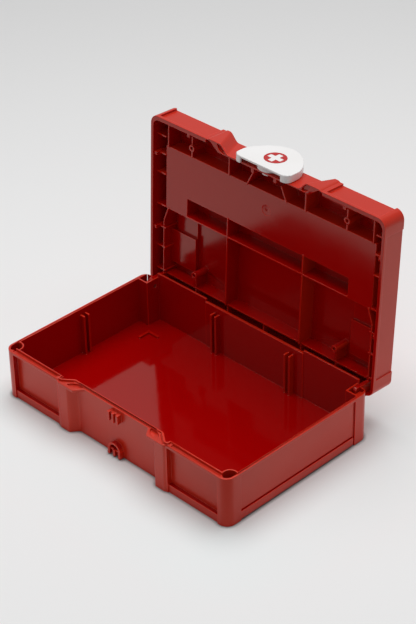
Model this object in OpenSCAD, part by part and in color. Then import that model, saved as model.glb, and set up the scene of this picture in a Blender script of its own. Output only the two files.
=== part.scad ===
// First aid case: a box, a hinged lid and a turning latch with a round sign.
// X runs along the width, Y from the front to the back, Z up.
// The origin is on the underside of the box, in the middle of its width,
// and half the stated depth behind the front plane.
// The lid parts are described in the closed case and then swung open about the hinge.

/* [Case] */
// Outside width
case_w = 265; // [250:1:300]
// Outside depth, from the front bulges to the back wall
case_d = 171; // [165:1:190]
// Outside height of the closed case
case_h = 71; // [66:1:90]
// Height of the lid above its rim
lid_h = 23.4; // [22:0.2:28]
// Gap between the rims of the closed case
seam = 0.3; // [0.2:0.05:0.5]
// Wall and floor thickness
wall = 2; // [1.6:0.1:2.2]
// Radius of the upright corners
corner_r = 8.5; // [8:0.5:10]
// How far the lid is swung open
open_angle = 92.8; // [0:0.1:92.8]

/* [Front] */
// How far the two bulges stand out from the front plane
bulge_out = 1; // [0.5:0.1:2]
// Half the width across the outer edges of the two bulges
bulge_half = 65.5; // [62:0.5:70]
// Radius of the outer edge of a bulge
bulge_r = 4; // [3:0.5:4.5]
// How far the centre front wall is set back from the front plane
centre_set = 6.5; // [6:0.25:7]
// Half the width of the flat centre front wall on the box
centre_half = 45; // [43:0.5:46]
// Width of the curve between the centre wall and a bulge on the box
slope_w = 8; // [7:0.5:9]
// How far the rim of the box reaches in over the curve
rim_flare = 8; // [6:0.5:9]
// Half the width of the centre front wall at the rim of the lid
lid_centre_half = 39; // [37:0.5:41]
// Width of the curve between the centre wall and a bulge on the lid
lid_slope_w = 10.4; // [9:0.2:11]
// Slant of that curve on the lid
lid_slope_tilt = 24; // [20:1:26]
// Width of the corner posts beside the front panels
post_w = 11; // [11:0.5:14]
// How far the front panels are set back on the box
panel_set = 4.7; // [4:0.1:5]
// How far the front panels are set back on the lid
lid_panel_set = 2; // [1:0.1:2.2]
// Height of the ridge under the front panels
ridge_h = 7.7; // [6:0.1:10]
// How far that ridge is set back
ridge_set = 1.2; // [0.8:0.1:2]
// Thickness of the flange along the front rim
flange_t = 2.5; // [2:0.1:3]
// How far the flange stands out from the bulges
flange_out = 0.5; // [0.2:0.1:0.8]
// Length of a lens-shaped pocket in the rim of the box
lens_l = 15.4; // [12:0.2:15.6]
// Width of a lens-shaped pocket in the rim of the box
lens_w = 6; // [5:0.1:6.2]
// Length of a lens-shaped pocket in the rim of the lid
lid_lens_l = 11.4; // [10:0.2:12]
// Width of a lens-shaped pocket in the rim of the lid
lid_lens_w = 4.6; // [4:0.1:5]
// Depth of the lens-shaped pockets in the box
pocket_depth = 1.8; // [1:0.1:1.8]
// Depth of the lens-shaped pockets in the lid
lid_pocket_depth = 2; // [1.5:0.1:2.5]
// Radius of the round pockets in the front corners
corner_pocket_r = 6; // [5.4:0.1:6.2]

/* [Sides] */
// Depth of the side panels
side_set = 1; // [0.5:0.1:1.2]
// Height of the band under the side panels
side_band = 9; // [6:0.5:12]
// Height of the band under the side panels of the lid
lid_band = 3; // [2:0.5:5]
// Distance from the back wall to the end of the side panels
side_back = 20; // [16:0.5:24]
// Distance from the front plane to the start of the side panels
side_front = 16; // [14:0.5:20]
// Height of the slanted foot of the sides
foot_h = 2.2; // [1.6:0.1:3]
// How far that foot slants in
foot_set = 1.2; // [0.6:0.1:1.6]
// Height of the shadow line above the band
band_line_h = 1.4; // [0.8:0.1:1.6]
// Depth of that line below the side panels
band_line_d = 0.8; // [0.4:0.1:1]
// Width of the groove between the side panels and the back posts
post_line_w = 1.4; // [1:0.1:2]
// Depth of that groove below the side panels
post_line_d = 0.6; // [0.3:0.1:0.8]

/* [Rims] */
// Height of the front tongue above the rim of the box
tongue_h = 1.4; // [0.8:0.1:1.6]
// Thickness of the front tongue
tongue_t = 1.2; // [1:0.1:1.4]
// Width of the rim in front of the tongue groove
lip_w = 1.8; // [1.4:0.1:2.2]
// Depth of the tongue groove
tongue_groove_d = 1.2; // [0.8:0.1:1.4]
// Height of the back wall above the rim beside the hinges
back_tongue_h = 3.7; // [3:0.1:4]
// Height of the back wall above the rim in the middle
back_mid_h = 1; // [0.5:0.1:2]
// Half the width of the lower middle of the back wall
back_mid_half = 58; // [50:1:64]
// How far the middle of the back wall stands in
back_mid_t = 0.8; // [0.5:0.1:1]
// Room for the swing between the back walls of box and lid
back_gap = 1.5; // [1:0.1:2]
// Play between the tongue and the lid
rim_play = 0.4; // [0.3:0.1:0.6]
// Width of the groove in the side rims
groove_w = 0.8; // [0.5:0.1:1]
// Depth of the groove in the side rims
groove_d = 0.8; // [0.4:0.1:1.2]

/* [Divider ribs] */
// Height of the ribs above the underside of the box
divider_top = 42; // [30:0.2:43]
// Thickness of a rib
divider_t = 1.8; // [1.4:0.1:2.2]
// Free slot between the two ribs of a pair
divider_slot = 3.5; // [3:0.1:5]
// How far the ribs stand out from the wall
divider_out = 5; // [3:0.5:7]
// Distance of the rib pairs on the back wall from the middle
divider_x = 44; // [38:1:50]
// Place of the rib pairs on the side walls
divider_y = 1.5; // [-20:0.5:20]
// Length of an arm of the corner ribs on the floor
mark_l = 13; // [8:1:20]
// Thickness of the corner ribs
mark_w = 2; // [1:0.1:2.4]
// Height of the corner ribs above the floor
mark_h = 2.2; // [1:0.1:3]

/* [Cleats] */
// Width of a finger of the cleats
finger_w = 2.4; // [2:0.1:2.8]
// Distance between the fingers of the upper cleat
finger_pitch = 5; // [4.5:0.1:5.5]
// How far the cleats stand out from the centre wall
cleat_out = 4.4; // [4:0.1:4.8]
// Height of the top of the upper cleat
cleat_top = 44; // [43:0.2:44.4]
// Radius of the arch of the lower cleat
arch_r = 7.4; // [7:0.1:8]
// Height of the middle of that arch
arch_z = 6.4; // [6:0.1:7]
// Thickness of the arch
arch_t = 2; // [1.6:0.1:2.4]

/* [Hinge] */
// Distance of the hinge axis from the outside of the back wall
hinge_in = 6.4; // [6.2:0.1:6.6]
// Height of the hinge axis
hinge_z = 40; // [39:0.1:40]
// Radius of a hinge pin
pin_r = 2; // [1.5:0.1:2.2]
// Radial play of the lid arms on the pins
pin_play = 0.1; // [0.05:0.01:0.1]
// Radial play of the pins in the box
pin_fit = 0.03; // [0.02:0.01:0.05]
// Distance of the hinge pockets from the sides
pocket_in = 13; // [12.5:0.5:14.5]
// Thickness of the walls of the hinge pockets
pocket_wall = 1.4; // [1.2:0.1:2]
// How deep a pin is sunk in the wall of its pocket
pin_sink = 0.3; // [0.1:0.1:0.5]
// How far the back posts stand in from the back wall
post_set = 3; // [2.6:0.1:3.4]
// Thickness of a hinge arm
arm_t = 3.4; // [3:0.1:3.6]
// Side play of a hinge arm
arm_play = 0.5; // [0.3:0.1:0.6]
// Reach of a hinge arm in front of the axis
arm_front = 7.3; // [6.5:0.1:7.3]
// Reach of a hinge arm behind the axis
arm_back = 5.9; // [5:0.1:6]
// Reach of a hinge arm below the axis
arm_below = 3.6; // [3.4:0.1:4]
// Radius of the corners of a hinge arm
arm_round = 3; // [2:0.1:3]
// Play between moving faces of box and lid
swing_play = 0.3; // [0.3:0.05:0.4]

/* [Lid inside] */
// Height of the rib edges above the rim of the lid
rib_set = 5.8; // [5:0.1:6.4]
// Height of the sunk plate above the rim of the lid
plate_set = 6.7; // [6.5:0.1:8]
// Thickness of the ribs
rib_t = 1.4; // [1.2:0.1:1.8]
// Distance of the sunk plate from the sides
plate_in = 12.9; // [12.5:0.1:16]
// Front edge of the sunk plate, from the front plane
plate_front = 28.3; // [27:0.1:30]
// Back edge of the sunk plate, from the front plane
plate_back = 70.8; // [70:0.1:76]
// Width of the two legs of the plate
leg_w = 26.4; // [24:0.2:30]
// End of the legs, from the front plane
leg_end = 89.5; // [88:0.5:94]
// Distance of the long ribs from the middle
long_rib_x = 43.5; // [40:0.5:48]
// Distance of the inner wall of the lid from the outside of the back wall
inner_wall_in = 13.2; // [13:0.1:14]
// How far the inner wall of the lid is lower than the ribs
inner_wall_set = 2.4; // [1:0.1:3]
// Height of the raised fields below the legs of the plate, above the roof
field_h = 5; // [3:0.5:6]
// Height of the upper part of these fields
field_step = 2.4; // [1:0.1:2.8]
// Distance of the fields from the sides, at their inner edge
field_in = 41; // [40.5:0.5:43]
// Start of the high part of the fields, from the front plane
field_y = 114.8; // [112:0.2:118]
// Length of the high part
field_l = 33; // [28:0.5:34]
// Radius of the gate mark in the middle of the plate
gate_r = 1.2; // [0.8:0.1:1.6]
// Radius of the shallow dish round the gate mark
gate_dish_r = 4.8; // [4:0.1:6]
// Distance of that mark from the front edge of the plate
gate_in = 17; // [14:0.5:20]
// Outside radius of a screw boss
boss_r = 3.2; // [3:0.1:4]
// Radius of the hole in a screw boss
boss_hole_r = 1.4; // [1:0.1:1.6]
// Thickness of the lugs on the side walls
lug_t = 3.2; // [2.4:0.1:3.6]
// Height of the lugs
lug_h = 9; // [7:0.5:10]

/* [Latch] */
// Height of the latch axis above the rim of the lid
latch_up = 10.9; // [10.8:0.1:11.2]
// Half the width of the latch
latch_half = 30.5; // [30:0.1:31.5]
// Reach of the round side of the latch from its axis
latch_reach = 27; // [26.8:0.1:28]
// Reach of the flat side of the latch from its axis
latch_flat = 14.1; // [14:0.1:15]
// Fullness of the round side, across
latch_crown = 14; // [13:0.5:16]
// Fullness of the round side, downwards
latch_fall = 17.5; // [15:0.5:19]
// Radius of the two lower corners of the latch
latch_corner_r = 6; // [5:0.5:8]
// Thickness of the latch, from the front wall to its face
latch_t = 7.2; // [6.5:0.1:8]
// Thickness of the face and the skirt of the latch
latch_wall = 2; // [1.6:0.1:2.2]
// Radius of the neck that turns in the lid
neck_r = 7.5; // [6:0.1:8]
// Radial play of the neck
neck_play = 0.1; // [0.05:0.01:0.1]
// Thickness of the wall of the hollow neck
neck_t = 1.6; // [1.2:0.1:2]
// Length of the neck behind the wall of the lid
neck_l = 3.2; // [2.8:0.1:3.6]
// How far the snap edge of the neck stands out
barb = 0.8; // [0.5:0.1:1]
// Width of the slots between the snap fingers
neck_slot = 2; // [1.5:0.1:2.5]
// Radius of the hub of the latch
hub_r = 12; // [10:0.1:12.5]
// Half the width of the notch in the skirt
notch_half = 22.6; // [22:0.1:23]
// Play between latch, lid and cleat
latch_play = 0.3; // [0.2:0.05:0.4]
// Radius of the round sign
sign_r = 9.9; // [8:0.1:10.5]
// Distance of the sign from the latch axis
sign_up = 4.7; // [4:0.1:6]
// Depth of the sign in the face
sign_t = 0.5; // [0.3:0.1:0.8]
// Length of the cross in the sign
cross_l = 14.4; // [10:0.2:15]
// Width of the arms of the cross
cross_w = 4.8; // [3:0.1:6]

/* [Hidden] */
$fn = 64;
// Overlap of joined solids, and how far a cut passes a face that it meets
eps = 0.01;
past = 1;
skim = 0.05;
curve_steps = 10;

side_x = case_w / 2;
inner_x = side_x - wall - side_set;
panel_half = side_x - post_w;
pocket_x = side_x - pocket_in;
plate_half = side_x - plate_in;

front_y = -case_d / 2;
crest_y = front_y - bulge_out;
back_y = case_d / 2 - bulge_out;
back_in_y = back_y - wall;
post_y = back_y - post_set;
centre_y = front_y + centre_set;
panel_y = front_y + panel_set;
lid_panel_y = front_y + lid_panel_set;
base_in_y = panel_y + wall;
bulge_in = [bulge_half - wall, front_y + 3.2];
slope_a = [bulge_half - 3.5, bulge_in.y];
slope_b = [centre_half + 7, front_y + 10.6];
lid_in_y = lid_panel_y + wall;
side_start_y = front_y + side_front;
side_end_y = back_y - side_back;

base_h = case_h - lid_h - seam;
lid_z = base_h + seam;
rib_z = lid_z + rib_set;
plate_z = lid_z + plate_set;
roof_z = case_h - wall;
latch_z = lid_z + latch_up;

hinge_y = back_y - hinge_in;
hinge_front_y = hinge_y - norm([arm_front, arm_below]) - swing_play;
pocket_top = lid_z + 5;
web_x = pocket_x + arm_play + arm_t + arm_play;
pin_end = web_x + wall;

corner_pocket = [inner_x - 1.8, front_y + 8.4];
lens_turn = 22;
lens_at = [centre_half + 2.2, front_y + 4.6];
lid_lens_turn = 36;
lid_lens_at = [centre_half + 3.1, front_y + 3.7];
mark_at = [side_x - 22.5, 61];

plate_y0 = front_y + plate_front;
plate_y1 = front_y + plate_back;
leg_y = front_y + leg_end;
inner_wall_y = back_y - inner_wall_in;
side_rib_x = plate_half + 1.8;
side_rib_y = leg_y + 13;
column_ribs = [for (d = [20, 56.5, 88, 130, 153.5]) front_y + d];
lugs = [for (d = [37.2, 110]) front_y + d];
lug_z = base_h + tongue_h + 0.5;
neck_lug_x = 12.7;
field_x = side_x - field_in;
field_y0 = front_y + field_y;
channel_z = rib_z + inner_wall_set;
boss_front = [side_x - 44.3, front_y + 19.8];
boss_rear = [side_x - 49.5, front_y + 143.5];
hook_r = latch_reach - latch_wall - 1;

function ease(t) = t * t * (3 - 2 * t);
function s_curve(a, b) = [for (i = [0:curve_steps]) let (t = i / curve_steps)
    [a.x + (b.x - a.x) * t, a.y + (b.y - a.y) * ease(t)]];

// Front of the inside of the box, right of the middle, moved outwards by a gap
function slope_x(y, gap) = let (run = slope_b - slope_a, at = slope_a + gap * [-run.y, run.x] / norm(run))
    at.x + run.x * (y - at.y) / run.y;
function front_line(gap, y0, y1) = let (x = bulge_in.x + gap, y = bulge_in.y - gap)
    [[x, y0], [x, y + 1.2], [x - 1.2, y], [slope_x(y, gap), y], [slope_x(y1, gap), y1]];
function back_to_front(points) = [for (i = [len(points) - 1:-1:0]) points[i]];
function both_sides(points) = concat(points,
    [for (i = [len(points) - 1:-1:0]) [-points[i].x, points[i].y]]);
function bezier(a, b, c, d) = [for (i = [0:curve_steps]) let (t = i / curve_steps)
    a * pow(1 - t, 3) + b * 3 * t * pow(1 - t, 2) + c * 3 * t * t * (1 - t) + d * pow(t, 3)];

module mirror_x() {
    children();
    mirror([1, 0, 0]) children();
}

// A slab between two heights
module slab(z0, z1) translate([0, 0, z0]) linear_extrude(z1 - z0) children();

// A box given by two corners
module block(a, b) translate(a) cube(b - a);

// A bar along a line in plan, centred on the line
module bar(a, b, t, z0, z1) {
    run = b - a;
    translate([a.x, a.y, z0]) rotate([0, 0, atan2(run.y, run.x)]) translate([0, -t / 2, 0])
        cube([norm(run), t, z1 - z0]);
}

// A cylinder along X between two places
module rod_x(x0, x1, r) translate([x0, 0, 0]) rotate([0, 90, 0]) cylinder(h = x1 - x0, r = r);

// Children moved to the hinge axis, and the swing of the lid about it
module at_hinge() translate([0, hinge_y, hinge_z]) children();
module swing() at_hinge() rotate([-open_angle, 0, 0]) translate([0, -hinge_y, -hinge_z]) children();

// Plan of a rounded rectangle, centred on the Y axis
module rounded_plan(w, y0, y1, r) {
    translate([-w / 2, y0 + r]) square([w, y1 - y0 - 2 * r]);
    translate([-w / 2 + r, y0]) square([w - 2 * r, y1 - y0]);
    for (x = [-1, 1], y = [y0 + r, y1 - r]) translate([x * (w / 2 - r), y]) circle(r);
}

// Plan of the space in front of the centre wall, with its curved sides
module front_recess(half, out_y) {
    start = [half + slope_w, out_y - skim];
    polygon(both_sides(concat([start - [0, 5]], s_curve(start, [half, centre_y]))));
}

// Plan of the two bulges beside the centre wall
module bulges(out_y) {
    root = [centre_half - rim_flare - 4, front_y + 9];
    mirror_x() {
        polygon([root, [bulge_half, root.y], [bulge_half, out_y + bulge_r],
            [bulge_half - bulge_r, out_y], [root.x, out_y]]);
        translate([bulge_half - bulge_r, out_y + bulge_r]) circle(bulge_r);
    }
}

// Plan of the box without its panels, with a centre wall of the given half width
module box_plan(half, out_y) difference() {
    union() {
        rounded_plan(case_w, front_y, post_y, corner_r);
        translate([-pocket_x, 0]) square([2 * pocket_x, back_y]);
        bulges(out_y);
    }
    front_recess(half, out_y);
}

// Plan of the lens-shaped pockets beside the centre wall
module lens_pockets(at, turn, l, w) {
    r = (pow(l / 2, 2) + pow(w / 2, 2)) / w;
    mirror_x() translate(at) rotate(-turn) intersection() {
        translate([0, r - w / 2]) circle(r);
        translate([0, w / 2 - r]) circle(r);
    }
}

// Plan of the round pockets in the front corners
module corner_pockets() intersection() {
    rounded_plan(case_w - 2 * wall, front_y + wall, post_y, corner_r - wall);
    mirror_x() translate(corner_pocket) circle(corner_pocket_r);
}

// Plan of the inside of the box
module box_inside() difference() {
    polygon(both_sides(concat([[inner_x, back_in_y], [inner_x, base_in_y]],
        front_line(0, base_in_y, slope_b.y),
        [[centre_half + 3.5, slope_b.y + 0.6], [centre_half - 1, centre_y + wall]])));
    mirror_x() translate([pocket_x - pocket_wall, hinge_front_y - pocket_wall]) square([30, 30]);
    mirror_x() translate(corner_pocket) circle(corner_pocket_r + pocket_wall);
    translate([-back_mid_half, back_in_y - back_mid_t]) square([2 * back_mid_half, wall]);
}

// Hinge pocket on the right, open at the top and at the back
module hinge_pocket() {
    block([pocket_x, hinge_front_y, wall], [inner_x, post_y - wall, pocket_top]);
    block([pocket_x, hinge_front_y, hinge_z - arm_back - swing_play], [web_x, back_y + past, pocket_top]);
    block([pocket_x, post_y, -past], [side_x + past, back_y + past, pocket_top]);
}

// Web that holds the outer end of the right hinge pin
module pin_web() block([web_x, hinge_front_y - eps, 0],
    [pin_end, post_y - wall / 2, hinge_z + pin_r + 1.4]);

// Round tops of the posts behind the hinge axis
module post_top_cut() difference() {
    block([pocket_x, hinge_y, hinge_z], [side_x + past, back_y + past, pocket_top]);
    at_hinge() rod_x(pocket_x - past, side_x + 2 * past, arm_front);
}

// Front panels of the box, a ridge below them and a flange above
module box_panels() mirror_x() {
    block([bulge_half, front_y - past, ridge_h], [panel_half, panel_y, base_h - flange_t]);
    block([bulge_half, front_y - past, -past], [panel_half, front_y + ridge_set, ridge_h + eps]);
}

// Panels on the sides
module side_panels(z0, z1) mirror_x()
    block([side_x - side_set, side_start_y, z0], [side_x + past, side_end_y, z1]);

// Slanted foot of the sides, the line above the band and the groove before the back posts
module side_lines() mirror_x() {
    translate([side_x, side_end_y, 0]) rotate([90, 0, 0]) linear_extrude(side_end_y - side_start_y)
        polygon([[-foot_set, -past], [-foot_set, 0], [0, foot_h], [past, foot_h], [past, -past]]);
    block([side_x - side_set - band_line_d, side_start_y, side_band],
        [side_x + past, side_end_y, side_band + band_line_h]);
    block([side_x - side_set - post_line_d, side_end_y - post_line_w, -past],
        [side_x + past, side_end_y, base_h - flange_t]);
}

// Groove between the flange and the tongue, and along the side rims
module rim_groove() {
    groove_x = side_x - wall + 0.1;
    mirror_x() block([bulge_half + 3, front_y + lip_w, base_h - tongue_groove_d],
        [panel_half + 2, panel_y, base_h + past]);
    slab(base_h - tongue_groove_d / 2, base_h + past) mirror_x() polygon(concat(
        front_line(wall + 1, front_y + lip_w, centre_y + wall - 1),
        back_to_front(front_line(wall, panel_y, centre_y + wall - 1))));
    mirror_x() block([groove_x, front_y + corner_r + 4, base_h - groove_d],
        [groove_x + groove_w, hinge_front_y - 3, base_h + past]);
}

// Plan of the front tongue, from a corner along the panel and round a bulge
module tongue_plan() polygon(concat(
    [[panel_half + 1.5, panel_y]], front_line(wall, panel_y, centre_y + wall),
    [[centre_half - 4, centre_y + wall], [centre_half - 4, centre_y + wall + tongue_t]],
    back_to_front(front_line(wall - tongue_t, panel_y + tongue_t, centre_y + wall + tongue_t)),
    [[panel_half + 1.5, panel_y + tongue_t]]));

// Tongues that stand up from the front and back walls
module outer_tongues() {
    slab(base_h - past, base_h + tongue_h) mirror_x() tongue_plan();
    mirror_x() block([back_mid_half, back_in_y, base_h - past], [pocket_x, back_y, base_h + back_tongue_h]);
    block([-back_mid_half, back_in_y - back_mid_t, base_h - past],
        [back_mid_half, back_y, base_h + back_mid_h]);
}

// Tongue inside the centre front wall
module centre_tongue() block([-centre_half - 1.5, centre_y + wall - eps, base_h - 4],
    [centre_half + 1.5, centre_y + wall + tongue_t, base_h + tongue_h]);

// One pair of divider ribs, standing out along +Y from the origin
module divider_pair() for (s = [-1, 1])
    translate([s * (divider_slot + divider_t) / 2 - divider_t / 2, -past, wall - eps])
        cube([divider_t, divider_out + past, divider_top - wall]);

// Upper cleat, which the latch of this case hooks under
module upper_cleat() intersection() {
    union() {
        for (s = [-1:1]) block([s * finger_pitch - finger_w / 2, centre_y - cleat_out, 0],
            [s * finger_pitch + finger_w / 2, centre_y + past, cleat_top]);
        block([-finger_pitch, centre_y - cleat_out / 2, cleat_top - 3],
            [finger_pitch, centre_y + past, cleat_top - 0.4]);
    }
    translate([0, 0, latch_z]) rotate([90, 0, 0])
        cylinder(h = 2 * case_d, r = hook_r - latch_play, center = true);
}

// Lower cleat, which the latch of a case below hooks over
module lower_cleat() {
    foot_x = arch_r - finger_w / 2;
    intersection() {
        translate([0, centre_y + past, arch_z]) rotate([90, 0, 0]) difference() {
            cylinder(h = cleat_out + past, r = arch_r);
            translate([0, 0, -past]) cylinder(h = cleat_out + 3 * past, r = arch_r - arch_t);
        }
        block([-arch_r, centre_y - cleat_out - past, arch_z],
            [arch_r, centre_y + 2 * past, arch_z + arch_r]);
    }
    block([-arch_r, centre_y - cleat_out + past, arch_z - 1], [arch_r, centre_y + past, arch_z + 1]);
    for (s = [-1:1]) block([s * foot_x - finger_w / 2, centre_y - cleat_out - 0.4, 0.8],
        [s * foot_x + finger_w / 2, centre_y + past, arch_z + 1]);
}

// Low corner ribs on the floor
module floor_marks() for (sy = [-1, 1]) mirror_x() translate([mark_at.x, sy * mark_at.y, wall - eps]) {
    translate([-mark_l, sy > 0 ? -mark_w : 0, 0]) cube([mark_l, mark_w, mark_h]);
    translate([-mark_w, sy > 0 ? -mark_l : 0, 0]) cube([mark_w, mark_l, mark_h]);
}

// Box with its posts, panels, pockets, ribs and cleats
module box_shell() color("firebrick") difference() {
    union() {
        difference() {
            union() {
                slab(0, base_h) box_plan(centre_half, crest_y);
                slab(base_h - flange_t, base_h) box_plan(centre_half - rim_flare, crest_y - flange_out);
                outer_tongues();
            }
            slab(wall, base_h + 9) box_inside();
            slab(wall, base_h + 9) corner_pockets();
            slab(base_h - pocket_depth, base_h + past) lens_pockets(lens_at, lens_turn, lens_l, lens_w);
            box_panels();
            side_panels(side_band, base_h - flange_t);
            side_lines();
            rim_groove();
            mirror_x() hinge_pocket();
        }
        centre_tongue();
        floor_marks();
        mirror_x() pin_web();
        mirror_x() translate([divider_x, back_in_y - back_mid_t, 0]) rotate(180) divider_pair();
        mirror_x() translate([inner_x, divider_y, 0]) rotate(90) divider_pair();
        upper_cleat();
        lower_cleat();
    }
    mirror_x() post_top_cut();
    mirror_x() at_hinge() rod_x(pocket_x - pocket_wall - past, pin_end + pin_fit, pin_r + pin_fit);
}

// Curved front of the lid: the space before its centre wall widens towards the top
module lid_front_cut() {
    start = [lid_slope_w * cos(lid_slope_tilt), crest_y - skim];
    mirror_x() translate([lid_centre_half, 0, lid_z]) rotate([0, lid_slope_tilt, 0]) slab(-20, 40)
        polygon(concat([[-60, start.y - 5], start - [0, 5]], s_curve(start, [0, centre_y]),
            [[-60, centre_y]]));
}

// Plan of the sunk plate, a band with two legs
module plate_plan(inset) {
    half = plate_half - inset;
    y0 = plate_y0 + inset;
    translate([-half, y0]) square([2 * half, plate_y1 - inset - y0]);
    mirror_x() translate([plate_half - leg_w + inset, y0]) square([leg_w - 2 * inset, leg_y - inset - y0]);
}

// A rib of the lid, up to the roof
module rib(a, b, z) bar(a, b, rib_t, z, roof_z + eps);

// Ribs beside and behind the sunk plate
module plate_ribs() {
    rib([-plate_half + leg_w, leg_y - rib_t], [plate_half - leg_w, leg_y - rib_t], rib_z);
    rib([-side_rib_x, inner_wall_y], [side_rib_x, inner_wall_y], channel_z);
    mirror_x() {
        rib([long_rib_x, centre_y + 1], [long_rib_x, plate_y0 + 1], rib_z);
        rib([long_rib_x, plate_y1 - 1], [long_rib_x, inner_wall_y], rib_z);
        rib([16, front_y + 16], [22.7, plate_y0 + 1], rib_z);
        rib([plate_half - 3, lid_in_y - 1], [plate_half - 3, plate_y0 + 1], rib_z);
        rib([side_rib_x, side_rib_y], [side_rib_x, inner_wall_y], rib_z);
        rib([plate_half - 3.5, leg_y - 1], [side_rib_x, side_rib_y], rib_z);
    }
}

// Short ribs between the screw bosses and the walls, and across the channel at the back
module boss_ribs() {
    boss_z = rib_z + 0.6;
    back_z = channel_z + 0.8;
    reach = boss_r - 0.5;
    rib([0, inner_wall_y], [0, back_in_y + 1], back_z);
    mirror_x() {
        rib([long_rib_x, inner_wall_y], [long_rib_x, back_in_y + 1], back_z);
        rib([boss_rear.x, boss_rear.y + reach], [boss_rear.x, back_in_y + 1], back_z);
        rib([boss_front.x, lid_in_y - 1], [boss_front.x, boss_front.y - reach], boss_z);
        rib([boss_front.x, boss_front.y + reach], [boss_front.x, plate_y0 + 1], boss_z);
    }
}

// Short ribs and thicker lugs between the plate and the side walls
module side_ribs() mirror_x() {
    for (y = concat(column_ribs, lugs)) rib([side_rib_x - 2, y], [inner_x + 1, y], rib_z);
    for (y = lugs) block([inner_x - 3, y - lug_t / 2, lug_z], [inner_x + 1, y + lug_t / 2, lug_z + lug_h]);
}

// Thick lugs on the front wall, two beside the neck of the latch and two at the screw bosses
module front_lugs() mirror_x() {
    block([neck_lug_x - lug_t / 2, centre_y + 1, lug_z],
        [neck_lug_x + lug_t / 2, centre_y + wall + 4.6, lug_z + lug_h]);
    block([boss_front.x - lug_t / 2, lid_in_y - 1, lug_z],
        [boss_front.x + lug_t / 2, lid_in_y + 4, lug_z + lug_h]);
}

// Screw bosses inside the lid and their holes
module at_bosses() mirror_x() for (at = [boss_front, boss_rear]) translate([at.x, at.y, rib_z]) children();
module bosses() at_bosses() cylinder(h = roof_z - rib_z + eps, r = boss_r);
module boss_holes() at_bosses() translate([0, 0, -past]) cylinder(h = roof_z - rib_z - 1, r = boss_hole_r);

// Raised fields of two heights in the roof of the lid, drawn in by an inset to hollow them from above
module roof_fields(inset) mirror_x() {
    top = inset > 0 ? case_h + past : roof_z + eps;
    block([field_x + inset, leg_y - rib_t + inset, roof_z - field_step + inset],
        [plate_half - 3.5 - inset, field_y0 + 1 + inset, top]);
    block([field_x + inset, field_y0 + inset, roof_z - field_h + inset],
        [side_rib_x - inset, field_y0 + field_l - inset, top]);
}

// Right hinge arm of the lid
module hinge_arm() {
    r = arm_round;
    translate([pocket_x + arm_play, hinge_y, hinge_z]) rotate([90, 0, 90]) linear_extrude(arm_t) {
        translate([-arm_front, r - arm_below])
            square([arm_front + arm_back, roof_z - hinge_z + arm_below - r + eps]);
        translate([-arm_front + r, -arm_below]) square([arm_front + arm_back - 2 * r, r + 1]);
        for (y = [-arm_front + r, arm_back - r]) translate([y, r - arm_below]) circle(r);
    }
}

// Outside of the lid
module lid_outside() difference() {
    union() {
        slab(lid_z, case_h) union() {
            rounded_plan(case_w, front_y, post_y, corner_r);
            bulges(crest_y);
        }
        slab(base_h + back_tongue_h + back_gap, case_h) translate([-pocket_x - 5, 0])
            square([2 * pocket_x + 10, back_y]);
    }
    lid_front_cut();
    mirror_x() block([bulge_half + 2.5, front_y - past, lid_z + lid_band],
        [panel_half + 2.5, lid_panel_y, case_h + past]);
    side_panels(lid_z + lid_band, case_h + past);
}

// Plan of the inside of the lid
module lid_inside() {
    difference() {
        polygon(both_sides(concat([[inner_x, back_in_y], [inner_x, lid_in_y]],
            front_line(wall + rim_play, lid_in_y, centre_y + wall - rim_play))));
        difference() {
            translate([-side_x, post_y - wall]) square([case_w, 20]);
            translate([-pocket_x - 3, 0]) square([2 * pocket_x + 6, back_in_y]);
        }
        difference() {
            mirror_x() translate([inner_x - 6, front_y]) square([9, 10]);
            rounded_plan(2 * inner_x, lid_in_y, post_y, corner_r - wall);
        }
    }
}

// Lid in the closed case
module lid_closed() difference() {
    union() {
        difference() {
            lid_outside();
            slab(lid_z - past, roof_z) lid_inside();
        }
        slab(plate_z, case_h) plate_plan(0);
        plate_ribs();
        boss_ribs();
        side_ribs();
        front_lugs();
        bosses();
        roof_fields(0);
        mirror_x() hinge_arm();
    }
    slab(plate_z + wall, case_h + past) plate_plan(wall);
    roof_fields(wall);
    boss_holes();
    slab(lid_z - past, lid_z + lid_pocket_depth)
        lens_pockets(lid_lens_at, lid_lens_turn, lid_lens_l, lid_lens_w);
    mirror_x() at_hinge() rod_x(pocket_x, side_x - 3, pin_r + pin_play);
    at_latch() translate([0, 0, -wall - 2 * past]) cylinder(h = wall + 3 * past, r = neck_r + neck_play);
    translate([0, plate_y0 + gate_in, plate_z - past]) {
        cylinder(h = past + 0.3, r = gate_dish_r);
        cylinder(h = past + 0.9, r = gate_r);
    }
}

// Lid, swung open
module lid_shell() color("firebrick") swing() lid_closed();

// Outline of the latch about its axis, with the round side up, drawn in by an inset
module latch_plan(inset) {
    r = latch_corner_r - inset;
    half = latch_half - inset;
    top = latch_reach - inset;
    crown = latch_crown - inset / 2;
    fall = latch_fall - inset / 2;
    flat = latch_flat - inset;
    polygon(both_sides(concat(bezier([0, top], [crown, top], [half, top - fall], [half, -2]),
        [for (a = [0:15:90]) [half - r + r * cos(a), r - flat - r * sin(a)]])));
}

// Plan of the space inside the skirt, with the round edge that hooks under the cleat
module latch_hollow() difference() {
    latch_plan(latch_wall);
    difference() {
        translate([-14, 18]) square([28, 12]);
        circle(hook_r);
    }
}

// Plan of the red part of the sign, round a straight-armed cross
module sign_plan() translate([0, sign_up]) difference() {
    circle(sign_r);
    square([cross_l, cross_w], center = true);
    square([cross_w, cross_l], center = true);
}

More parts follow.
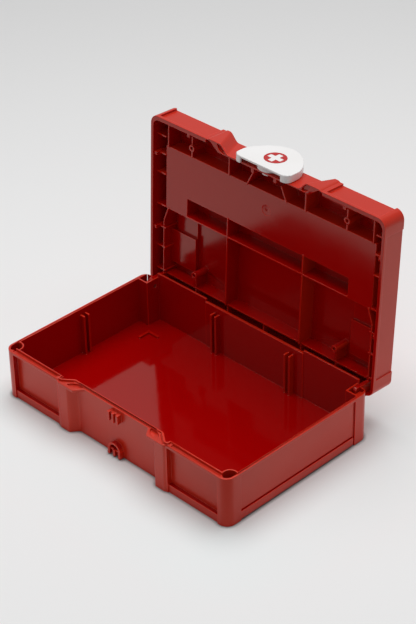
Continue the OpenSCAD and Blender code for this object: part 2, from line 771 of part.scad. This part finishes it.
// Latch standing on a wall in the XY plane, with its neck below it
module latch_body() {
    end = -wall - neck_l;
    face = latch_t - latch_wall;
    difference() {
        union() {
            slab(face, latch_t) latch_plan(0);
            difference() {
                slab(latch_play, face + eps) difference() {
                    latch_plan(0);
                    latch_hollow();
                }
                block([-notch_half, -latch_flat - past, -past],
                    [notch_half, -latch_flat + latch_wall + 1, face]);
            }
            slab(latch_play, face + eps) circle(hub_r);
            slab(end, latch_play + eps) circle(neck_r);
            slab(end + 0.6, -wall - 0.2) circle(neck_r + barb);
        }
        slab(end - past, face - latch_wall) circle(neck_r - neck_t);
        for (a = [0:60:120]) rotate(a)
            block([-hub_r, -neck_slot / 2, end - past], [hub_r, neck_slot / 2, -0.4]);
        slab(latch_t - sign_t, latch_t + past) sign_plan();
    }
}

// Place of the latch in the front wall of the lid
module at_latch() translate([0, centre_y, latch_z]) rotate([90, 0, 0]) children();

// Turning latch with its hub, neck and snap fingers
module latch_knob() color("white") swing() at_latch() latch_body();

// Round sign with a plain cross, let into the face of the latch
module latch_badge() color("red") swing() at_latch() slab(latch_t - sign_t, latch_t) sign_plan();

// Pins that carry the lid
module hinge_pin() at_hinge() rod_x(pocket_x - pocket_wall + pin_sink, pin_end, pin_r);
module hinge_pin_right() color("silver") hinge_pin();
module hinge_pin_left() color("silver") mirror([1, 0, 0]) hinge_pin();

box_shell();
lid_shell();
latch_knob();
latch_badge();
hinge_pin_left();
hinge_pin_right();
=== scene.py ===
import math

import bpy
from mathutils import Matrix, Vector


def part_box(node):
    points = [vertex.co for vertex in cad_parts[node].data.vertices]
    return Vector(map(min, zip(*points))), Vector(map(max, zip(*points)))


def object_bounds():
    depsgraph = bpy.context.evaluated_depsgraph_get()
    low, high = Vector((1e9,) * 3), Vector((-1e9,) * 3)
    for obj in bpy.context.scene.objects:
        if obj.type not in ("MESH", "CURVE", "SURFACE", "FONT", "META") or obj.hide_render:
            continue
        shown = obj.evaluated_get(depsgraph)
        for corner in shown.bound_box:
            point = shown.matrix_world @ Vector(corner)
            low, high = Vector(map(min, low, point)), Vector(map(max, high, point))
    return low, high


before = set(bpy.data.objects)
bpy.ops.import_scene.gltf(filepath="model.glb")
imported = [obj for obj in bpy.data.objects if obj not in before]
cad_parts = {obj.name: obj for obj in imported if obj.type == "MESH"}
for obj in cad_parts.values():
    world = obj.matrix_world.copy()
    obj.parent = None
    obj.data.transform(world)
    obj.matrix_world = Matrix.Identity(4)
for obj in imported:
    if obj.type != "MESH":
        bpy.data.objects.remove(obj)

# The start-up scene's own objects aren't part of the case.
for name in ("Cube", "Light", "Camera"):
    if name in bpy.data.objects:
        bpy.data.objects.remove(bpy.data.objects[name])
CAD_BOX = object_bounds()

bl_info = {
    "name": "First Aid Case",
    "version": (1, 0, 0),
    "blender": (4, 5, 0),
    "location": "3D View > Sidebar > First Aid Case",
    "description": "Finishes the moulded case, its lid, latch and hinge pins, and sets up a studio",
    "category": "Object",
}

MM = 0.001

# Points between the inside and the outside faces, by which the two finishes are told apart
BOX_MIDDLE = (0, 0, 0.025)
LID_MIDDLE = (0, 0.075, 0.125)
LAMP_TARGET = Vector((0, 0, 0.05))


def linear(hex_colour):
    """The linear RGBA of an sRGB hex colour."""
    channels = [int(hex_colour[i:i + 2], 16) / 255 for i in (0, 2, 4)]
    return [c / 12.92 if c <= 0.04045 else ((c + 0.055) / 1.055) ** 2.4 for c in channels] + [1]


class CaseFinish(bpy.types.PropertyGroup):
    """Colours and surface sizes of the case."""

    red: bpy.props.FloatVectorProperty(
        name="Red", description="Colour of the moulded red ABS",
        subtype="COLOR", size=4, min=0, max=1, default=linear("C42006"))
    deep_red: bpy.props.FloatVectorProperty(
        name="Deep red", description="Where the red ABS flowed thinner and looks deeper",
        subtype="COLOR", size=4, min=0, max=1, default=linear("B81C05"))
    # Partly painted shade: the inside red is darker partly for the deeper look of polished ABS and partly to
    # stand for the shade inside the box.
    inside_red_and_shade: bpy.props.FloatVectorProperty(
        name="Inside red", description="The same ABS where the tool is polished, which looks deeper",
        subtype="COLOR", size=4, min=0, max=1, default=linear("A00102"))
    # Partly painted shade: darker partly for the polish and partly to stand for the shade inside the lid.
    lid_inside_red_and_shade: bpy.props.FloatVectorProperty(
        name="Lid inside red", description="The same inside the lid, where the polish is duller",
        subtype="COLOR", size=4, min=0, max=1, default=linear("A80302"))
    # Painted highlight: the red painted on thin edges, brighter and more orange than the plastic.
    painted_edge_highlight: bpy.props.FloatVectorProperty(
        name="Edge red", description="The same ABS in thin edges, which gather light",
        subtype="COLOR", size=4, min=0, max=1, default=linear("EE2812"))
    white: bpy.props.FloatVectorProperty(
        name="White", description="Colour of the moulded white ABS of the latch",
        subtype="COLOR", size=4, min=0, max=1, default=linear("EEEDEE"))
    thick_white: bpy.props.FloatVectorProperty(
        name="Thick white", description="Where the white ABS flowed thicker and looks warmer",
        subtype="COLOR", size=4, min=0, max=1, default=linear("E7E6E4"))
    sign: bpy.props.FloatVectorProperty(
        name="Sign", description="Red of the round sign on the latch",
        subtype="COLOR", size=4, min=0, max=1, default=linear("B80A12"))
    thick_sign: bpy.props.FloatVectorProperty(
        name="Thick sign", description="Where the ink of the sign lies thicker",
        subtype="COLOR", size=4, min=0, max=1, default=linear("A9080F"))
    steel: bpy.props.FloatVectorProperty(
        name="Steel", description="Colour of the ground steel pins",
        subtype="COLOR", size=4, min=0, max=1, default=linear("B8B9BC"))
    mirrored: bpy.props.FloatVectorProperty(
        name="Mirrored", description="Tint of what the ABS mirrors",
        subtype="COLOR", size=4, min=0, max=1, default=linear("FFE8D4"))
    abs_index: bpy.props.FloatProperty(
        name="ABS index", description="Refractive index of the ABS", default=1.54, min=1.3, max=1.8)
    lid_index: bpy.props.FloatProperty(
        name="Lid index", description="The same for the lid, whose duller skin mirrors less",
        default=1.5, min=1.3, max=1.8)
    grained: bpy.props.FloatProperty(
        name="Grained", description="Roughness of the grained outside",
        subtype="FACTOR", default=0.3, min=0.03, max=0.9)
    polished: bpy.props.FloatProperty(
        name="Polished", description="Roughness of the polished inside of the box",
        subtype="FACTOR", default=0.07, min=0.03, max=0.9)
    lid_polished: bpy.props.FloatProperty(
        name="Lid polished", description="Roughness of the inside of the lid",
        subtype="FACTOR", default=0.14, min=0.03, max=0.9)
    printed: bpy.props.FloatProperty(
        name="Printed", description="Roughness of the printed sign",
        subtype="FACTOR", default=0.25, min=0.03, max=0.9)
    grain: bpy.props.FloatProperty(
        name="Grain", description="Size of the grain outside the case",
        subtype="DISTANCE", unit="LENGTH", default=0.7 * MM, min=0.1 * MM, max=5 * MM)
    ripple: bpy.props.FloatProperty(
        name="Ripple", description="Size of the faint ripple on the polished inside",
        subtype="DISTANCE", unit="LENGTH", default=9 * MM, min=1 * MM, max=50 * MM)
    edge: bpy.props.FloatProperty(
        name="Edge", description="Radius of the moulded edges",
        subtype="DISTANCE", unit="LENGTH", default=0.35 * MM, min=0.05 * MM, max=1 * MM)
    latch_edge: bpy.props.FloatProperty(
        name="Latch edge", description="Radius of the edges of the latch",
        subtype="DISTANCE", unit="LENGTH", default=0.45 * MM, min=0.05 * MM, max=1 * MM)


class StudioSetup(bpy.types.PropertyGroup):
    """Camera, floor and light."""

    lens: bpy.props.FloatProperty(
        name="Lens", description="Focal length of the camera on a 36 mm sensor",
        subtype="DISTANCE_CAMERA", default=110.8, min=20, max=300)
    camera_at: bpy.props.FloatVectorProperty(
        name="Camera", description="Place of the camera",
        subtype="TRANSLATION", unit="LENGTH", default=(0.9512, -0.90704, 0.96833))
    ahead: bpy.props.FloatVectorProperty(
        name="Ahead", description="Direction in which the camera looks",
        subtype="DIRECTION", default=(-0.595539, 0.585379, -0.550149))
    right: bpy.props.FloatVectorProperty(
        name="Right", description="Direction to the right of the picture",
        subtype="DIRECTION", default=(0.708139, 0.705904, -0.015457))
    floor: bpy.props.FloatVectorProperty(
        name="Floor", description="Colour of the floor in front",
        subtype="COLOR", size=4, min=0, max=1, default=linear("F0F0F0"))
    # Painted shade: the floor behind the case is painted darker.
    far_floor_painted_shade: bpy.props.FloatVectorProperty(
        name="Far floor", description="Colour of the floor behind the case",
        subtype="COLOR", size=4, min=0, max=1, default=linear("D6D6D6"))
    # Painted light: the floor beside the case, tinted to cancel the red light the case throws on it.
    close_floor_painted_light: bpy.props.FloatVectorProperty(
        name="Close floor", description="Colour of the floor beside the case, against its red light",
        subtype="COLOR", size=4, min=0, max=1, default=linear("EDF3F3"))
    # Painted shade: a darker floor that only reflections and bounced light see.
    dim_floor_painted_shade: bpy.props.FloatVectorProperty(
        name="Dim floor", description="Colour of the floor on the dim side of the studio, in reflected light",
        subtype="COLOR", size=4, min=0, max=1, default=linear("B0B0B0"))
    backdrop: bpy.props.FloatVectorProperty(
        name="Backdrop", description="Colour of the backdrop, which the floor runs into",
        subtype="COLOR", size=4, min=0, max=1, default=linear("D6D6D6"))
    floor_half: bpy.props.FloatProperty(
        name="Floor half", description="Half the width of the floor",
        subtype="DISTANCE", unit="LENGTH", default=6, min=3, max=20)
    contact: bpy.props.FloatProperty(
        name="Contact", description="Width of the dark line where the case meets the floor",
        subtype="DISTANCE", unit="LENGTH", default=4 * MM, min=1 * MM, max=20 * MM)
    sky: bpy.props.FloatProperty(
        name="Sky", description="Strength of the light from all round", default=0.34, min=0, max=2)
    glow: bpy.props.FloatProperty(
        name="Glow", description="Brightness of the white studio in reflections", default=0.54, min=0, max=2)
    overhead: bpy.props.FloatProperty(
        name="Overhead", description="Power of the soft box above the case",
        subtype="POWER", unit="POWER", default=30, min=0, max=500)
    overhead_width: bpy.props.FloatProperty(
        name="Overhead width", description="Width of the round soft box",
        subtype="DISTANCE", unit="LENGTH", default=2, min=0.2, max=5)
    overhead_at: bpy.props.FloatVectorProperty(
        name="Overhead place", description="Place of the soft box, above and a little behind the case",
        subtype="TRANSLATION", unit="LENGTH", default=(-0.2, 0.3, 1.9))


def add(tree, kind, values=None, links=None, **settings):
    """Adds a node to a tree, with its settings, the values of its sockets and its links."""
    node = tree.nodes.new(kind)
    for key, value in settings.items():
        setattr(node, key, value)
    for socket, value in (values or {}).items():
        node.inputs[socket].default_value = value
    for socket, source in (links or {}).items():
        tree.links.new(source, node.inputs[socket])
    return node


def new_tree(name):
    """A material with an empty node tree."""
    material = bpy.data.materials.new(name)
    material.use_nodes = True
    material.node_tree.nodes.clear()
    return material, material.node_tree


def moulded_abs(name, look, colours, middle, polished, grained, index):
    """ABS, injection moulded. The tool is polished inside the case, which gives a clear, faintly rippled
    gloss, and spark-eroded outside, which gives a fine grain and a soft sheen. The colours are those of
    the outside, of its deeper places, of the inside, darker partly with painted shade, and of the
    painted highlights on thin edges."""
    main, deep, within, highlight_at_edges = colours
    material, tree = new_tree(name)
    place = add(tree, "ShaderNodeTexCoord")
    spot = place.outputs["Object"]
    # Inside faces look towards the middle of the piece, outside faces away from it.
    away = add(tree, "ShaderNodeVectorMath", {1: middle}, {0: spot}, operation="SUBTRACT")
    facing = add(tree, "ShaderNodeVectorMath", links={0: away.outputs["Vector"], 1: place.outputs["Normal"]},
                 operation="DOT_PRODUCT")
    outside = add(tree, "ShaderNodeMapRange", {"From Min": -2 * MM, "From Max": 2 * MM},
                  {"Value": facing.outputs["Value"]})
    # Flow in the mould changes the depth of the colour over some 40 mm.
    flow = add(tree, "ShaderNodeTexNoise", {"Scale": 1 / (40 * MM), "Detail": 2.0}, {"Vector": spot})
    flowed = add(tree, "ShaderNodeMix", {6: main, 7: deep}, {"Factor": flow.outputs["Fac"]}, data_type="RGBA")
    # The inside gets its own red, darker partly as painted shade for the inside of the piece.
    plain = add(tree, "ShaderNodeMix", {6: within},
                {"Factor": outside.outputs["Result"], 7: flowed.outputs[2]}, data_type="RGBA")
    # Painted highlight: thin convex edges, found by rays cast into the piece, are painted
    # brighter and more orange, as if they caught the light.
    depth = add(tree, "ShaderNodeAmbientOcclusion", {"Distance": 0.8 * MM}, samples=6, inside=True,
                only_local=True)
    thin = add(tree, "ShaderNodeMapRange", {"From Min": 0.95, "From Max": 0.6, "To Max": 0.8},
               {"Value": depth.outputs["AO"]})
    colour = add(tree, "ShaderNodeMix", {7: highlight_at_edges},
                 {"Factor": thin.outputs["Result"], 6: plain.outputs[2]}, data_type="RGBA")
    # Handling leaves smudges of some 14 mm, a little duller or glossier than the rest.
    smudge = add(tree, "ShaderNodeTexNoise", {"Scale": 1 / (14 * MM), "Detail": 4.0, "Roughness": 0.6},
                 {"Vector": spot})
    base = add(tree, "ShaderNodeMapRange", {"To Min": polished, "To Max": grained},
               {"Value": outside.outputs["Result"]})
    spread = add(tree, "ShaderNodeMapRange",
                 {"From Min": 0.3, "From Max": 0.7, "To Min": -0.02, "To Max": 0.03},
                 {"Value": smudge.outputs["Fac"]})
    rough = add(tree, "ShaderNodeMath", links={0: base.outputs["Result"], 1: spread.outputs["Result"]},
                operation="ADD")
    waves = add(tree, "ShaderNodeTexNoise", {"Scale": 1 / look.ripple, "Detail": 1.0}, {"Vector": spot})
    soft = add(tree, "ShaderNodeBump", {"Strength": 0.06, "Distance": 0.25 * MM},
               {"Height": waves.outputs["Fac"]})
    # The real grain is near 0.1 mm, too fine to show, so it is drawn as coarse as look.grain says.
    pits = add(tree, "ShaderNodeTexNoise", {"Scale": 1 / look.grain, "Detail": 2.0}, {"Vector": spot})
    strength = add(tree, "ShaderNodeMath", {1: 0.22}, {0: outside.outputs["Result"]}, operation="MULTIPLY")
    bump = add(tree, "ShaderNodeBump", {"Distance": 0.05 * MM},
               {"Height": pits.outputs["Fac"], "Strength": strength.outputs["Value"],
                "Normal": soft.outputs["Normal"]})
    shader = add(tree, "ShaderNodeBsdfPrincipled", {"IOR": index, "Specular Tint": look.mirrored},
                 {"Base Color": colour.outputs[2], "Roughness": rough.outputs["Value"],
                  "Normal": bump.outputs["Normal"]})
    add(tree, "ShaderNodeOutputMaterial", links={"Surface": shader.outputs["BSDF"]})
    return material


def ground_steel(name, tint):
    """Steel pins, centreless ground: bright, with fine marks round the pin every 0.3 mm."""
    material, tree = new_tree(name)
    place = add(tree, "ShaderNodeTexCoord")
    along = add(tree, "ShaderNodeMapping", {"Scale": (1 / (0.3 * MM), 20, 20)},
                {"Vector": place.outputs["Object"]})
    marks = add(tree, "ShaderNodeTexNoise", {"Scale": 1.0, "Detail": 3.0},
                {"Vector": along.outputs["Vector"]})
    rough = add(tree, "ShaderNodeMapRange", {"To Min": 0.18, "To Max": 0.38}, {"Value": marks.outputs["Fac"]})
    bump = add(tree, "ShaderNodeBump", {"Strength": 0.15, "Distance": 0.02 * MM},
               {"Height": marks.outputs["Fac"]})
    shader = add(tree, "ShaderNodeBsdfPrincipled", {"Base Color": tint, "Metallic": 1.0},
                 {"Roughness": rough.outputs["Result"], "Normal": bump.outputs["Normal"]})
    add(tree, "ShaderNodeOutputMaterial", links={"Surface": shader.outputs["BSDF"]})
    return material


def paper_colour(tree, studio, spot, camera_ray):
    """Colour of the floor: painted shade to the back, painted light beside the case against its red
    light, and painted shade where only reflections and bounced light see it.
    """
    # Painted shade: the paper is painted darker evenly from the front of the studio to the back, standing
    # for the light that falls off towards the back.
    front = Vector((studio.camera_at[0], studio.camera_at[1], 0)).normalized()
    depth = add(tree, "ShaderNodeVectorMath", {1: -front}, {0: spot}, operation="DOT_PRODUCT")
    away = add(tree, "ShaderNodeMapRange", {"From Min": -0.1, "From Max": 1.1},
               {"Value": depth.outputs["Value"]}, interpolation_type="SMOOTHSTEP")
    paper = add(tree, "ShaderNodeMix", {6: studio.floor, 7: studio.far_floor_painted_shade},
                {"Factor": away.outputs["Result"]}, data_type="RGBA")
    # Painted light: within 90 mm of the case, the paper seen by the camera is painted slightly cyan,
    # which cancels the red light that the case throws on it.
    half_case = ((CAD_BOX[1][0] - CAD_BOX[0][0]) / 2, -CAD_BOX[0][1], 0)
    side = add(tree, "ShaderNodeVectorMath", links={0: spot}, operation="ABSOLUTE")
    past = add(tree, "ShaderNodeVectorMath", {1: half_case}, {0: side.outputs["Vector"]},
               operation="SUBTRACT")
    gap = add(tree, "ShaderNodeVectorMath", {1: (0, 0, 0)}, {0: past.outputs["Vector"]},
              operation="MAXIMUM")
    reach = add(tree, "ShaderNodeVectorMath", links={0: gap.outputs["Vector"]}, operation="LENGTH")
    near = add(tree, "ShaderNodeMapRange", {"From Max": 90 * MM, "To Min": 1.0, "To Max": 0.0},
               {"Value": reach.outputs["Value"]})
    beside = add(tree, "ShaderNodeMath", links={0: near.outputs["Result"], 1: camera_ray},
                 operation="MULTIPLY")
    seen = add(tree, "ShaderNodeMix", {7: studio.close_floor_painted_light},
               {"Factor": beside.outputs["Value"], 6: paper.outputs[2]}, data_type="RGBA")
    # Painted shade: for all rays but the camera's, the paper towards the front right is painted dim,
    # so the corners of the case that face that way mirror a darker floor.
    dim = add(tree, "ShaderNodeMapRange", {"From Min": -0.12, "From Max": -0.2},
              {"Value": depth.outputs["Value"]}, interpolation_type="SMOOTHSTEP")
    unseen = add(tree, "ShaderNodeMath", {0: 1.0}, {1: camera_ray}, operation="SUBTRACT")
    reflected = add(tree, "ShaderNodeMath", links={0: dim.outputs["Result"], 1: unseen.outputs["Value"]},
                    operation="MULTIPLY")
    shade = add(tree, "ShaderNodeMix", {7: studio.dim_floor_painted_shade},
                {"Factor": reflected.outputs["Value"], 6: seen.outputs[2]}, data_type="RGBA")
    # Little light gets in where the rounded foot of the case meets the paper.
    open_sky = add(tree, "ShaderNodeAmbientOcclusion", {"Distance": studio.contact}, samples=16)
    lit = add(tree, "ShaderNodeMapRange", {"From Min": 0.45, "From Max": 0.95, "To Min": 0.3, "To Max": 1.0},
              {"Value": open_sky.outputs["AO"]})
    return add(tree, "ShaderNodeMix", {"Factor": 1.0}, {6: shade.outputs[2], 7: lit.outputs["Result"]},
               data_type="RGBA", blend_type="MULTIPLY")


def matt_paper(name, studio):
    """Matt background paper with short fibres, which runs into the backdrop far behind the case."""
    material, tree = new_tree(name)
    place = add(tree, "ShaderNodeTexCoord")
    spot = place.outputs["Object"]
    path = add(tree, "ShaderNodeLightPath")
    colour = paper_colour(tree, studio, spot, path.outputs["Is Camera Ray"])
    fibres = add(tree, "ShaderNodeTexNoise", {"Scale": 1 / (3 * MM), "Detail": 3.0}, {"Vector": spot})
    bump = add(tree, "ShaderNodeBump", {"Strength": 0.05, "Distance": 0.05 * MM},
               {"Height": fibres.outputs["Fac"]})
    shader = add(tree, "ShaderNodeBsdfPrincipled", {"Roughness": 0.8, "Specular IOR Level": 0.2},
                 {"Base Color": colour.outputs[2], "Normal": bump.outputs["Normal"]})
    # Far away, where the soft box no longer lights it, the paper is seen in the colour of the backdrop.
    far = add(tree, "ShaderNodeVectorMath", links={0: spot}, operation="LENGTH")
    fade = add(tree, "ShaderNodeMapRange", {"From Min": 0.9, "From Max": 2.2},
               {"Value": far.outputs["Value"]}, interpolation_type="SMOOTHSTEP")
    faded = add(tree, "ShaderNodeMath", links={0: fade.outputs["Result"], 1: path.outputs["Is Camera Ray"]},
                operation="MULTIPLY")
    backdrop = add(tree, "ShaderNodeEmission", {"Color": studio.backdrop, "Strength": 1.0})
    surface = add(tree, "ShaderNodeMixShader",
                  links={"Fac": faded.outputs["Value"], 1: shader.outputs["BSDF"],
                         2: backdrop.outputs["Emission"]})
    add(tree, "ShaderNodeOutputMaterial", links={"Surface": surface.outputs["Shader"]})
    return material


def finish(node, material, radius=None):
    """Gives a node of the frame its material, and the small radius of its moulded edges."""
    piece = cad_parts[node]
    piece.data.materials.clear()
    piece.data.materials.append(material)
    if radius:
        weld = piece.modifiers.new("weld", "WELD")
        weld.merge_threshold = 0.002 * MM
        edge = piece.modifiers.new("edges", "BEVEL")
        edge.width = radius
        edge.segments = 2
        edge.limit_method = "ANGLE"
        edge.angle_limit = math.radians(34)
        edge.use_clamp_overlap = False
        edge.harden_normals = False
        edge.miter_outer = "MITER_ARC"
        even = piece.modifiers.new("even shading", "WEIGHTED_NORMAL")
        even.mode = "FACE_AREA"
        even.weight = 100


class CASE_OT_box(bpy.types.Operator):
    """Finish the box."""

    bl_idname = "case.box"
    bl_label = "Box"

    def execute(self, context):
        look = context.scene.case_finish
        red = moulded_abs("moulded_red_abs_box", look,
                          (look.red, look.deep_red, look.inside_red_and_shade, look.painted_edge_highlight),
                          BOX_MIDDLE, look.polished, look.grained, look.abs_index)
        finish("box_shell", red, look.edge)
        return {"FINISHED"}


class CASE_OT_lid(bpy.types.Operator):
    """Finish the lid."""

    bl_idname = "case.lid"
    bl_label = "Lid"

    def execute(self, context):
        look = context.scene.case_finish
        red = moulded_abs("moulded_red_abs_lid", look,
                          (look.red, look.deep_red, look.lid_inside_red_and_shade, look.painted_edge_highlight),
                          LID_MIDDLE, look.lid_polished, look.grained, look.lid_index)
        finish("lid_shell", red, look.edge)
        return {"FINISHED"}


class CASE_OT_latch(bpy.types.Operator):
    """Finish the latch and its round sign."""

    bl_idname = "case.latch"
    bl_label = "Latch"

    def execute(self, context):
        look = context.scene.case_finish
        low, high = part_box("latch_knob")
        middle = (low + high) / 2
        white = moulded_abs("moulded_white_abs", look, (look.white, look.thick_white, look.white, look.white),
                            middle, look.grained, look.grained, look.abs_index)
        finish("latch_knob", white, look.latch_edge)
        # The sign is pad printed: an even, slightly glossier film that follows the plastic below it.
        sign = moulded_abs("pad_printed_red", look, (look.sign, look.thick_sign, look.sign, look.sign),
                           middle, look.printed, look.printed, look.abs_index)
        finish("latch_badge", sign)
        return {"FINISHED"}


class CASE_OT_pins(bpy.types.Operator):
    """Finish the hinge pins."""

    bl_idname = "case.pins"
    bl_label = "Hinge pins"

    def execute(self, context):
        steel = ground_steel("ground_steel", context.scene.case_finish.steel)
        for node in ("hinge_pin_left", "hinge_pin_right"):
            finish(node, steel)
        return {"FINISHED"}


class CASE_OT_studio(bpy.types.Operator):
    """Set up the floor, the light and the camera."""

    bl_idname = "case.studio"
    bl_label = "Studio"

    def execute(self, context):
        studio = context.scene.case_studio
        scene = context.scene
        scene.view_settings.view_transform = "Standard"
        self.camera(scene, studio)
        self.floor(scene, studio)
        self.backdrop(scene, studio)
        self.soft_box(scene, studio)
        return {"FINISHED"}

    def camera(self, scene, studio):
        """The camera looks at the case from the front right, from above."""
        data = bpy.data.cameras.new("camera")
        data.lens = studio.lens
        data.sensor_width = 36
        data.clip_end = 50
        camera = bpy.data.objects.new("camera", data)
        scene.collection.objects.link(camera)
        ahead = Vector(studio.ahead).normalized()
        right = Vector(studio.right).normalized()
        up = right.cross(ahead)
        turn = Matrix((right, up, -ahead)).transposed().to_4x4()
        camera.matrix_world = Matrix.Translation(studio.camera_at) @ turn
        scene.camera = camera

    def floor(self, scene, studio):
        """A wide pale floor."""
        half = studio.floor_half
        corners = [(-half, -half, 0), (half, -half, 0), (half, half, 0), (-half, half, 0)]
        mesh = bpy.data.meshes.new("floor")
        mesh.from_pydata(corners, [], [(0, 1, 2, 3)])
        mesh.materials.append(matt_paper("matt_paper", studio))
        floor = bpy.data.objects.new("floor", mesh)
        scene.collection.objects.link(floor)

    def backdrop(self, scene, studio):
        """An even light from all round: pale to the camera, brighter in gloss than on matt faces."""
        world = bpy.data.worlds.new("studio")
        scene.world = world
        world.use_nodes = True
        tree = world.node_tree
        tree.nodes.clear()
        white = linear("FFFFFF")
        path = add(tree, "ShaderNodeLightPath")
        seen = add(tree, "ShaderNodeBackground", {"Color": studio.backdrop, "Strength": 1.0})
        lit = add(tree, "ShaderNodeBackground", {"Color": white, "Strength": studio.sky})
        mirrored = add(tree, "ShaderNodeBackground", {"Color": white, "Strength": studio.glow})
        unseen = add(tree, "ShaderNodeMixShader",
                     links={0: path.outputs["Is Glossy Ray"], 1: lit.outputs["Background"],
                            2: mirrored.outputs["Background"]})
        both = add(tree, "ShaderNodeMixShader",
                   links={0: path.outputs["Is Camera Ray"], 1: unseen.outputs["Shader"],
                          2: seen.outputs["Background"]})
        add(tree, "ShaderNodeOutputWorld", links={"Surface": both.outputs["Shader"]})

    def soft_box(self, scene, studio):
        """A round soft box overhead."""
        data = bpy.data.lights.new("overhead", "AREA")
        data.shape = "DISK"
        data.size = studio.overhead_width
        data.energy = studio.overhead
        lamp = bpy.data.objects.new("overhead", data)
        scene.collection.objects.link(lamp)
        spot = Vector(studio.overhead_at)
        lamp.location = spot
        lamp.rotation_euler = (LAMP_TARGET - spot).to_track_quat("-Z", "Y").to_euler()


class CASE_PT_panel(bpy.types.Panel):
    """Lists the steps in the sidebar."""

    bl_idname = "CASE_PT_panel"
    bl_label = "First Aid Case"
    bl_space_type = "VIEW_3D"
    bl_region_type = "UI"
    bl_category = "First Aid Case"

    def draw(self, context):
        for step in STEPS:
            self.layout.operator(step.bl_idname)


STEPS = (CASE_OT_box, CASE_OT_lid, CASE_OT_latch, CASE_OT_pins, CASE_OT_studio)
GROUPS = (CaseFinish, StudioSetup)
CLASSES = GROUPS + STEPS + (CASE_PT_panel,)


def register():
    for cls in CLASSES:
        bpy.utils.register_class(cls)
    bpy.types.Scene.case_finish = bpy.props.PointerProperty(type=CaseFinish)
    bpy.types.Scene.case_studio = bpy.props.PointerProperty(type=StudioSetup)


def unregister():
    del bpy.types.Scene.case_studio
    del bpy.types.Scene.case_finish
    for cls in reversed(CLASSES):
        bpy.utils.unregister_class(cls)


def main():
    register()
    for step in STEPS:
        group, name = step.bl_idname.split(".")
        getattr(getattr(bpy.ops, group), name)()
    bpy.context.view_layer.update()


if __name__ == "__main__":
    main()
